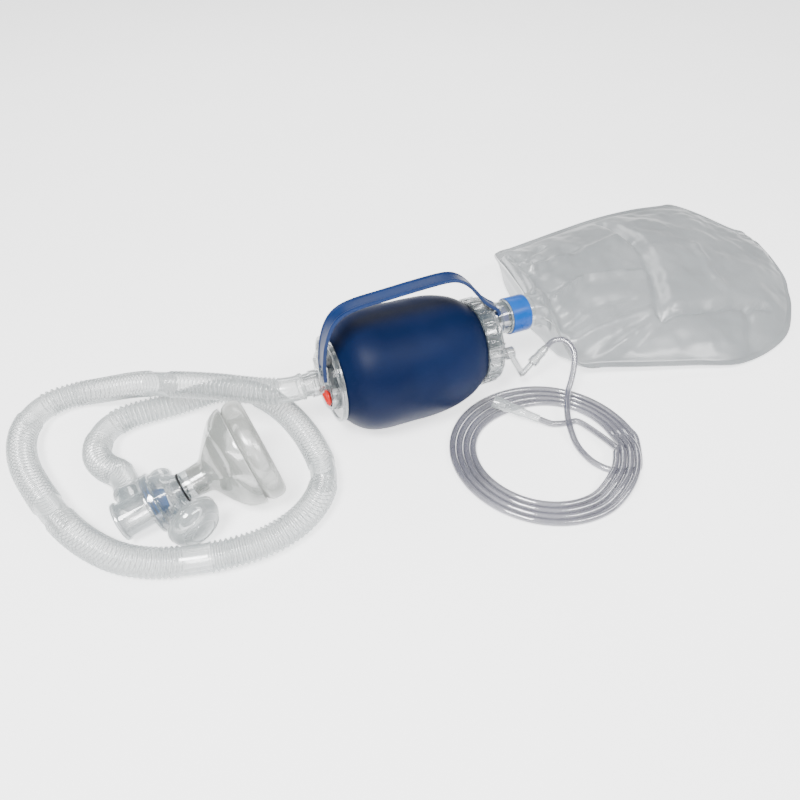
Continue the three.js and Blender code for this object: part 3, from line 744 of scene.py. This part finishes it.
# ---- rear end of the bag -------------------------------------------------------------------
def build_rear_ring():
    teeth = 22
    outline = []
    for i in range(teeth):
        for share, r in ((0.04, 45.5), (0.2, 45.5), (0.36, 45.5), (0.46, 45.3), (0.54, 43.6),
                         (0.72, 43.6), (0.9, 43.6), (0.96, 45.3)):
            angle = 2 * math.pi * (i + share) / teeth
            outline.append((r * math.cos(angle), r * math.sin(angle)))
    ring = raw_object("rear_ring_body", extruded(outline, 148.3, 162, "X"), BAG_FRAME)
    combined(ring, BAG_FRAME, [("DIFFERENCE", turned(rod_profile(147, 163, 41.6), ROUND))])
    bevelled(ring, 0.4, 2, 40)
    finished(ring, CLEAR, "clear_plastic", "bag_body", "rear_ring")


def build_rear_housing():
    plate = soften([(162.3, 0), (162.3, 43.6), (165.6, 43.6), (165.6, 0)], 0.7)
    housing = raw_object("rear_housing_body", turned(plate, ROUND), BAG_FRAME)
    skirt = turned(ring_profile(149, 163, 41, 38.4), ROUND)
    port = soften([(164.6, 0), (164.6, 22), (180, 21.4), (185, 17.2), (219, 16.8), (219, 0)], 0.8)
    bead = soften(ring_profile(172, 174.4, 22.9, 20), 0.5)
    boss = soften(rod_profile(164.6, 184, 5.4), 0.4)
    tools = [
        ("UNION", skirt),
        ("UNION", moved(turned(port, ROUND), PORT_SHIFT)),
        ("UNION", moved(turned(bead, ROUND), PORT_SHIFT)),
        ("UNION", moved(turned(boss, SMALL_ROUND), BOSS_SHIFT)),
        ("UNION", block((164.6, STRAP_REAR_Y - 2.6, 39), (175, STRAP_REAR_Y + 2.6, 42))),
    ]
    for i in range(10):
        rib = block((165, -0.7, 24), (168, 0.7, 41))
        spin = Matrix.Rotation(math.radians(36 * i + 100), 4, "X")
        tools.append(("UNION", moved(rib, spin)))
    tools += [
        ("DIFFERENCE", moved(turned(rod_profile(161, 220, 14.9), ROUND), PORT_SHIFT)),
        ("DIFFERENCE", moved(turned(rod_profile(161, 185, 2), 32), BOSS_SHIFT)),
    ]
    combined(housing, BAG_FRAME, tools)
    finished(housing, CLEAR, "clear_plastic", "bag_body", "rear_housing")


def build_reservoir_neck():
    add("reservoir_inner_ring", turned(soften(ring_profile(184, 192, 14.6, 11.8), 0.5)), PORT_FRAME,
        PURPLE, "purple_plastic", "bag_body", "reservoir_valve_ring")
    add("reservoir_neck_collar", turned(soften(ring_profile(194, 222, 18.2, 17.3), 0.4)), PORT_FRAME,
        FROSTED, "frosted_plastic", "bag_body", "reservoir_collar")
    add("reservoir_blue_band", turned(soften(ring_profile(196, 217, 19.6, 18.5), 0.35)), PORT_FRAME,
        BAND_BLUE, "band_blue", "bag_body", "reservoir_band")


def build_elbow():
    start = Vector((189.5, BOSS_Y, AXIS_Z + BOSS_Z))
    sleeve = turned(soften(rod_profile(184.3, 193, 6.6), 0.6), SMALL_ROUND)
    elbow = raw_object("oxygen_inlet_elbow", moved(sleeve, BOSS_SHIFT), BAG_FRAME)
    leg = along(block((-1, -5.5, -3), (29, 5.5, 3)), start, ELBOW_LOW - start)
    nipple = along(turned(soften(rod_profile(-1, 15, 3), 0.4), 32), ELBOW_LOW, TUBE_HEADING)
    combined(elbow, BUILD, [("UNION", leg), ("UNION", nipple)])
    bevelled(elbow, 0.5)
    finished(elbow, ELBOW, "clear_plastic", "bag_body", "oxygen_elbow")


build_rear_ring()
build_rear_housing()
build_reservoir_neck()
build_elbow()

# ---- reservoir bag -------------------------------------------------------------------------
# Stations along the bag: x, the near edge's y and z, the far edge's y and z, and how far the
# film stands above and below the line between the edges.
RESERVOIR = [
    (222.3, -5.9, 74, 29.9, 74, 17.9, 17.9), (236, -7, 71, 40, 73, 19, 20),
    (248, -4, 58, 92, 68, 22, 28), (258, -12, 38, 138, 60, 26, 32),
    (270, -34, 17, 166, 53, 30, 28), (299, -43, 14, 177, 48, 32, 26),
    (335, -55, 12, 188, 45, 32, 24), (394, -73, 9, 206, 40, 32, 22),
    (450, -90, 7, 221, 36, 30, 20), (500, -83, 6, 231, 32, 27, 18), (545, -64, 6, 237, 28, 22, 15),
    (590, -25, 6, 238, 24, 16, 12), (614, 3, 6, 236, 22, 12, 10), (635, 30, 6.5, 205, 19, 8, 7),
    (655, 72, 7.5, 158, 14, 5, 5), (668, 112, 9, 145, 11.5, 3, 3),
]
# Creases in the upper film: height (below 0 is a valley), width, and the line it follows.
CREASES = [
    (-9, 13, [(455, 191), (458, 129), (430, 55), (394, -9)]),
    (-7, 11, [(394, -9), (448, -14), (503, -19), (540, -25)]),
    (5, 10, [(278, 94), (360, 110), (434, 139)]),
    (7, 9, [(254, 28), (327, 58), (411, 54)]),
    (6, 9, [(277, -13), (335, -6), (384, -5)]),
    (-5, 9, [(266, 6), (320, 22), (372, 22)]),
    (5, 8, [(257, -43), (333, -28), (382, -15)]),
    (4, 7, [(273, -40), (266, -74)]),
    (-4, 8, [(512, -25), (455, -102)]),
    (3, 9, [(532, 98), (503, 23), (501, 4)]),
    (4, 7, [(315, -67), (307, -86)]),
    (5, 8, [(258, 132), (278, 94)]),
    (-4, 8, [(264, 110), (330, 150)]),
]
CREASE_DEPTH = 1.35     # every crease's height is taken this many times
HEM = 7                 # width of the flat welded edge


def distance_to_line(x, y, line):
    best = 1e9
    for (ax, ay), (bx, by) in zip(line, line[1:]):
        dx, dy = bx - ax, by - ay
        t = min(max(((x - ax) * dx + (y - ay) * dy) / (dx * dx + dy * dy), 0), 1)
        best = min(best, math.hypot(x - ax - dx * t, y - ay - dy * t))
    return best


def eased_rows(rows, count):
    """Even steps along a table of numbers, with no overshoot between its rows."""
    table = np.array(rows, dtype=float)
    place = np.linspace(0, len(rows) - 1, count)
    index = np.minimum(place.astype(int), len(rows) - 2)
    share = (place - index)[:, None]
    slope = np.gradient(table, axis=0)
    step = np.diff(table, axis=0)
    for k in range(table.shape[1]):
        for i in range(1, len(rows) - 1):
            if step[i - 1, k] * step[i, k] <= 0:
                slope[i, k] = 0
    a, b = table[index], table[index + 1]
    return ((2 * share**3 - 3 * share**2 + 1) * a + (share**3 - 2 * share**2 + share) * slope[index]
            + (-2 * share**3 + 3 * share**2) * b + (share**3 - share**2) * slope[index + 1])


def reservoir_shape():
    lengths, around = 170, 176
    verts = []
    for x, near_y, near_z, far_y, far_z, above, below in eased_rows(RESERVOIR, lengths):
        flat = smoothstep(x, 226, 275)
        width = far_y - near_y
        for j in range(around):
            angle = 2 * math.pi * j / around
            across = math.cos(angle)
            share = 0.5 - 0.5 * across
            inside = max(1 - 2 * HEM * flat / width, 0.1)
            lens = max(1 - (abs(across) / inside) ** 2, 0) ** (0.5 + 0.25 * flat)
            y = near_y + width * share
            z = near_z + (far_z - near_z) * share
            top = math.sin(angle) >= 0
            z += lens * above if top else -lens * below
            if lens <= 0:
                z += 0.5 * math.sin(angle) / abs(math.sin(angle) + 1e-9)
            pull = min(1, 3 * lens) * flat
            if top:
                for height, reach, crease in CREASES:
                    gap = distance_to_line(x, y, crease)
                    z += CREASE_DEPTH * height * pull * max(0, 1 - gap / reach) ** 1.15
            neck = smoothstep(x, 224, 236) * (1 - smoothstep(x, 262, 300))
            z += neck * 1.6 * math.sin(9 * angle + x / 7)
            y += neck * 1.2 * math.cos(11 * angle + x / 6)
            spot = Vector((x, y, 90 * top))
            ripple = noise.noise(spot / 34) * 3.8 + noise.noise(spot / 13) * 1.4
            z += ripple * pull
            verts.append((x, y, max(z, 0.8)))
    return verts, capped_faces(lengths, around)


add("reservoir_film_bag", reservoir_shape(), BUILD, FILM, "reservoir_film", "bag_body",
    "reservoir_bag", sharp=70)

# ---- patient valve -------------------------------------------------------------------------
HOSE_PORT_AT = (12, 0, 0)
LOBE_AT = (42, 0, 2)
EXHALE_AT = (42, 0, 0)
EXHALE_DIR = (0.32, -0.92, -0.22)
DOME_R = 23.2
DOME_FROM = 37      # where the dome is widest, out from the valve's axis
DOME_RISE = 14.5


def build_inlet_chamber():
    shell = soften([(0.6, 16), (27, 16), (27, 27), (29.4, 27), (29.4, 14.2), (0.6, 14.2)], 0.5)
    chamber = raw_object("valve_inlet_chamber", turned(shell), VALVE_FRAME)
    port = along(turned(soften(rod_profile(8, 26, 11), 0.4), 64), HOSE_PORT_AT, (0, 1, 0))
    bore = turned(rod_profile(-1, 31, 14.2), ROUND)
    port_bore = along(turned(rod_profile(0, 28, 9.4), 64), HOSE_PORT_AT, (0, 1, 0))
    combined(chamber, VALVE_FRAME, [("UNION", port), ("DIFFERENCE", bore), ("DIFFERENCE", port_bore)])
    finished(chamber, CHAMBER, "clear_plastic", "bag_body", "inlet_chamber")
    cap = soften([(-2.4, 0), (-2.4, 10), (-1.6, 10.6), (-1.6, 13.6), (-2.4, 14.2), (-2.4, 17.6),
                  (0.3, 17.6), (0.3, 0)], 0.4)
    add("valve_inlet_cap", turned(cap), VALVE_FRAME, CHAMBER, "clear_plastic", "bag_body",
        "inlet_end_cap")


def build_diaphragm():
    skirt = soften([(29.8, 24.6), (31.2, 24.6), (31.2, 10), (29.8, 10)], 0.4)
    bill = raw_object("duckbill_diaphragm", turned(skirt), VALVE_FRAME)
    lips = extruded([(30.2, -6.2), (34, -5), (41, -0.9), (41, 0.9), (34, 5), (30.2, 6.2)], -10.6, 10.6)
    slit = block((29, -8, -0.4), (42, 8, 0.4))
    collar = turned(ring_profile(29.8, 31.2, 12, 5))
    combined(bill, VALVE_FRAME, [("UNION", collar), ("UNION", lips), ("DIFFERENCE", slit)])
    finished(bill, VALVE_BLUE, "valve_blue", "duckbill_body", "duckbill_valve")

    outer = turned(soften(ring_profile(32.8, 34.3, 24.4, 21.6), 0.3))
    rim = raw_object("diaphragm_retainer_wheel", outer, VALVE_FRAME)
    tools = [("UNION", turned(ring_profile(32.8, 34.3, 15.4, 12.8)))]
    for i in range(6):
        spoke = block((32.8, -1.4, 14.4), (34.3, 1.4, 22.6))
        tools.append(("UNION", moved(spoke, Matrix.Rotation(math.radians(60 * i), 4, "X"))))
    combined(rim, VALVE_FRAME, tools)
    finished(rim, VALVE_BLUE, "valve_blue", "bag_body", "diaphragm_retainer")


def build_outlet_body():
    shell = soften([(29.8, 27), (35.6, 27), (36.6, 22.4), (45.4, 21.2), (51.6, 15.8), (56, 14),
                    (56, 11.6), (50, 13.2), (44.6, 18.8), (34.6, 19.8), (34.6, 25), (29.8, 25)], 0.6)
    body = raw_object("valve_outlet_body", turned(shell), VALVE_FRAME)
    branch = along(turned(rod_profile(14, 31.5, 9.4), 64), EXHALE_AT, EXHALE_DIR)
    lobe = along(turned(soften(rod_profile(10, 25, 10.5), 1.4), 64), LOBE_AT, (0, 1, 0))
    core = turned([(29, 0), (29, 25), (34.6, 25), (34.6, 19.8), (44.6, 18.8), (50, 13.2),
                   (57, 11.6), (57, 0)])
    branch_bore = along(turned([(10, 0), (10, 6.6), (27.4, 6.6), (27.4, 8.6), (35, 8.6), (35, 0)], 64),
                        EXHALE_AT, EXHALE_DIR)
    lobe_bore = along(turned(rod_profile(8, 23, 8.8), 64), LOBE_AT, (0, 1, 0))
    combined(body, VALVE_FRAME, [
        ("UNION", branch), ("UNION", lobe), ("DIFFERENCE", core),
        ("DIFFERENCE", branch_bore), ("DIFFERENCE", lobe_bore),
    ])
    finished(body, CHAMBER, "clear_plastic", "bag_body", "outlet_body")


def build_exhalation_cap():
    outer = [(31.9, 19.6), (33.4, 22)]
    inner = [(31.9, 11.8)]
    steps = 16
    for i in range(steps + 1):
        angle = i / steps * math.pi / 2
        x = DOME_FROM + DOME_RISE * math.sin(angle)
        r = DOME_R * math.cos(angle)
        outer.append((x, r))
        inner.append((x - 1.8, max(r - 1.8, 0)))
    cap = raw_object("exhalation_dome", along(turned(outer + inner[::-1], 80), EXHALE_AT, EXHALE_DIR),
                     VALVE_FRAME)
    tools = []
    for x0, x1, r0, r1 in ((32.4, 36, 23.7, 20.5), (45.6, 47.7, 17.8, 16.4), (48.6, 50.4, 12.4, 11)):
        ridge = turned(soften(ring_profile(x0, x1, r0, r1), 0.6), 80)
        tools.append(("UNION", along(ridge, EXHALE_AT, EXHALE_DIR)))
    tools.append(("DIFFERENCE", along(block((33.4, 15, -5), (37.8, 26, 5)), EXHALE_AT, EXHALE_DIR)))
    combined(cap, VALVE_FRAME, tools)
    finished(cap, FROSTED, "frosted_plastic", "exhalation_cap_body", "exhalation_cap", sharp=40)


def build_patient_port():
    ring = [(57.2 - 0.85 * math.cos(a), 13.2 + 0.85 * math.sin(a))
            for a in (2 * math.pi * i / 20 for i in range(20))]
    add("port_seal_ring", turned(ring), VALVE_FRAME, BLACK, "black_rubber", "patient_body",
        "port_o_ring", sharp=60)
    port = soften([(50.6, 11.3), (56.2, 11.3), (56.2, 12), (58.4, 12), (58.4, 13.6), (66, 13.6),
                   (66, 11), (80, 10.8), (80, 7.5), (50.6, 7.5)], 0.4)
    add("patient_swivel_port", turned(port), VALVE_FRAME, CHAMBER, "clear_plastic", "patient_body",
        "patient_port")


build_inlet_chamber()
build_diaphragm()
build_outlet_body()
build_exhalation_cap()
build_patient_port()

# ---- mask ----------------------------------------------------------------------------------
MASK_LONG = 1.065        # half length over the round profile's radius
MASK_NARROW = 43 / 49


def facet(angle, sides, keep):
    """Radius of a rounded polygon of unit size: keep 0 is round, 1 has flat sides."""
    step = 2 * math.pi / sides
    off = (angle + step / 2) % step - step / 2
    flat = math.cos(step / 2) / math.cos(off)
    return 1 + keep * (flat - 1) + keep * 0.04


def mask_dome_shape():
    outer = [(66.4, 13.6), (78, 14.6), (80.5, 16.8), (83, 20.6), (90, 29.6), (96, 35.8), (98.6, 37.6),
             (100, 39.6), (105, 42.4), (111, 44.2), (115, 44.6)]
    inner = [(115, 42.6), (111, 42.2), (105, 40.4), (100, 37.6), (98.6, 35.8), (96, 34), (90, 27.8),
             (83, 18.8), (80.2, 14), (80, 11.6), (66.4, 11.4)]
    verts = []
    sides = 144
    profile = outer + inner
    for x, r in profile:
        stretch = smoothstep(x, 80, 100)
        keep = smoothstep(x, 80, 86) * (1 - smoothstep(x, 98, 110))
        for j in range(sides):
            angle = 2 * math.pi * j / sides
            radius = r * facet(angle + 0.26, 6, 0.9 * keep)
            y = radius * math.cos(angle) * (1 + stretch * (MASK_NARROW * MASK_LONG - 1))
            z = radius * math.sin(angle) * (1 + stretch * (MASK_LONG - 1))
            verts.append((x, y, z))
    return verts, ring_faces(len(profile), sides, closed=True)


def mask_cushion_shape():
    """A soft ring, fuller at its outer edge, with a moulded line where it meets the dome."""
    sides, steps = 144, 40
    verts = []
    for i in range(steps):
        angle = 2 * math.pi * i / steps
        puff = 1 + 0.05 * math.cos(2 * angle)
        groove = 0.4 * math.exp(-((angle - 0.75) / 0.14) ** 2)
        x = 125.2 - 9.8 * math.cos(angle)
        r = 40.4 + (8.6 * puff - groove) * math.sin(angle) * 0.98
        for j in range(sides):
            turn = 2 * math.pi * j / sides
            wave = 0.5 * noise.noise(Vector((3 * math.cos(turn), 3 * math.sin(turn), i / 9)))
            radius = r + wave
            verts.append((x, radius * math.cos(turn) * MASK_NARROW, radius * math.sin(turn)))
    return verts, ring_faces(steps, sides, closed=True)


add("mask_dome_shell", mask_dome_shape(), MASK_FRAME, MASK_CLEAR, "clear_plastic", "patient_body",
    "mask_dome", sharp=24)
cushion = add("mask_soft_cushion", mask_cushion_shape(), MASK_FRAME, CUSHION, "cushion_silicone",
              "patient_body", "mask_cushion", sharp=60)

# ---- small CAD parts that keep their shape -------------------------------------------------
KEPT = {
    "relief_disc": SILICONE,
    "intake_valve_seat": CLEAR,
    "intake_valve_leaf": SILICONE,
    "exhalation_leaf": SILICONE,
}
for node_name, look in KEPT.items():
    node = bpy.data.objects[node_name]
    for place in node.material_slots:
        place.link = "OBJECT"
        place.material = look.material


# ---- lights, floor and world, in metres about the object's own origin ----------------------
def area_light(name, place, target, size, power):
    data = bpy.data.lights.new(name, "AREA")
    data.shape = "RECTANGLE"
    data.size, data.size_y = size
    data.energy = power
    lamp = bpy.data.objects.new(name, data)
    bpy.context.scene.collection.objects.link(lamp)
    lamp.location = place
    lamp.rotation_euler = (Vector(target) - Vector(place)).to_track_quat("-Z", "Y").to_euler()


def add_studio():
    area_light("key", (-0.8, -0.7, 1.3), (0, 0, 0), (0.55, 0.4), 46)
    area_light("strip", (0.5, -0.9, 1.2), (0.1, 0, 0), (0.9, 0.25), 16)
    area_light("back", (0.2, 1.3, 1.2), (0, 0, 0.05), (1.4, 0.4), 12)
    world = bpy.data.worlds.new("studio")
    world.use_nodes = True
    world.node_tree.nodes["Background"].inputs["Color"].default_value = (1, 1, 1, 1)
    world.node_tree.nodes["Background"].inputs["Strength"].default_value = 0.5
    bpy.context.scene.world = world
    bpy.ops.mesh.primitive_plane_add(size=8, location=(0, 0, -0.0002))
    floor = bpy.context.object
    floor.name = "floor"
    look = Look("floor_white")
    look.two_colours(look.noise(3), (0.86, 0.86, 0.86), (0.9, 0.9, 0.9))
    look.shader.inputs["Roughness"].default_value = 0.9
    look.shader.inputs["Specular IOR Level"].default_value = 0.1
    look.shader.inputs["Emission Color"].default_value = (1, 1, 1, 1)
    look.shader.inputs["Emission Strength"].default_value = 1.8
    floor.data.materials.append(look.material)


add_studio()
